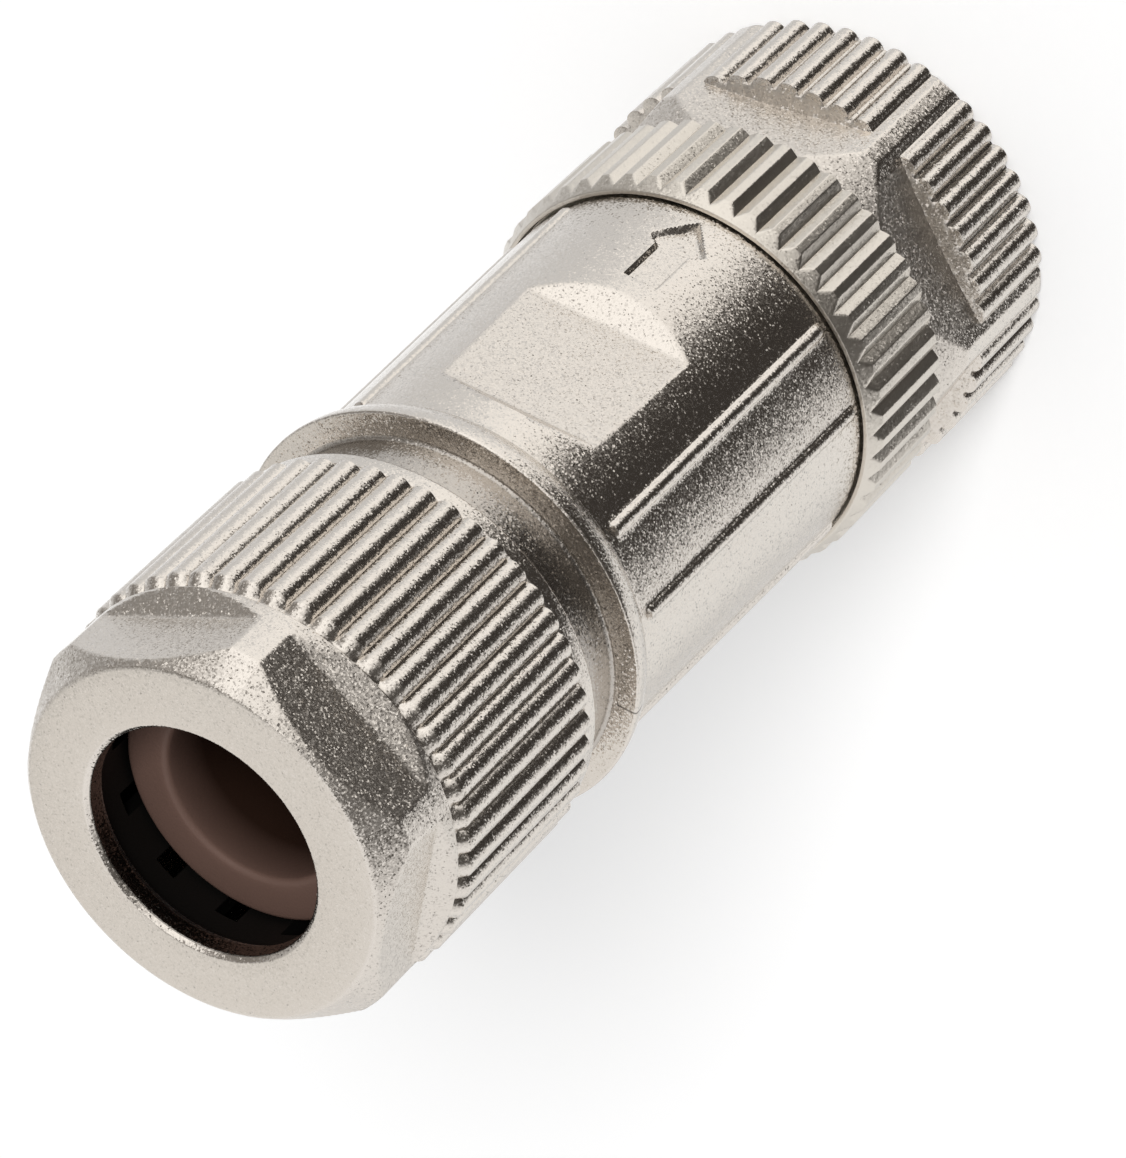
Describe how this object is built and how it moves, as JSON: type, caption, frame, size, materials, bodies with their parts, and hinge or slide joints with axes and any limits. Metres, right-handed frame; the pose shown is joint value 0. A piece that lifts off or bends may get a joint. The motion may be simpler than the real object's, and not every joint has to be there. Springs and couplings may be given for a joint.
{
  "type": "circular cable connector",
  "caption": "Shielded female circular cable connector: ribbed coupling nut, knurled shell, cast sleeve with wrench flats and a cable gland that screws on.",
  "frame": {"origin": "centre of the circle in which the part stands, the coupling nut's front rim at the mating end", "axes": "+Z along the axis towards the cable end; -Y points out of the side with the arrow and one of the two wrench flats"},
  "size_m": [0.0212, 0.0212, 0.0551],
  "materials": {
    "cast_nickel": "blasted nickel plate, satin with fine sparkle",
    "turned_nickel": "turned and nickel plated, satin",
    "spring_steel": "bright spring steel",
    "gilt_brass": "gold plated",
    "black_plastic": "matt moulded",
    "seal_rubber": "slightly translucent pinkish brown rubber",
    "ring_rubber": "matt black rubber"
  },
  "bodies": {
    "shell": {"knurled_shell": "turned_nickel", "retaining_ring": "spring_steel", "contact_insert": "black_plastic", "mating_o_ring": "ring_rubber", "housing_o_ring": "ring_rubber", "socket_contact_1": "gilt_brass", "socket_contact_2": "gilt_brass", "socket_contact_3": "gilt_brass", "socket_contact_4": "gilt_brass", "terminal_screw_1": "spring_steel", "terminal_screw_2": "spring_steel", "terminal_screw_3": "spring_steel", "terminal_screw_4": "spring_steel"},
    "coupling": {"coupling_nut": "cast_nickel"},
    "spacer": {"spacer_sleeve": "black_plastic"},
    "sleeve": {"sleeve_housing": "cast_nickel", "shield_cup": "turned_nickel", "shield_ring": "turned_nickel"},
    "clamp": {"thrust_washer": "spring_steel", "clamping_cage": "black_plastic", "gland_seal": "seal_rubber"},
    "gland": {"gland_nut": "cast_nickel"}
  },
  "joints": [
    {"name": "coupling_turn", "type": "hinge", "parent": "shell", "child": "coupling", "pos_m": [0, 0, 0.005], "axis": [0, 0, 1], "continuous": true},
    {"name": "sleeve_slide", "type": "slide", "parent": "shell", "child": "spacer", "axis": [0, 0, 1], "range_m": [0, 0.0055]},
    {"name": "sleeve_turn", "type": "hinge", "parent": "spacer", "child": "sleeve", "pos_m": [0, 0, 0.03], "axis": [0, 0, 1], "range_deg": [0, 1979]},
    {"name": "gland_slide", "type": "slide", "parent": "sleeve", "child": "clamp", "axis": [0, 0, 1], "range_m": [-0.0026, 0.0024]},
    {"name": "gland_turn", "type": "hinge", "parent": "clamp", "child": "gland", "pos_m": [0, 0, 0.047], "axis": [0, 0, 1], "range_deg": [-935, 863]}
  ],
  "couplings": [
    {"joint": "sleeve_slide", "follows": "sleeve_turn", "m_per_rad": 0.00015915},
    {"joint": "gland_slide", "follows": "gland_turn", "m_per_rad": 0.00015915}
  ]
}
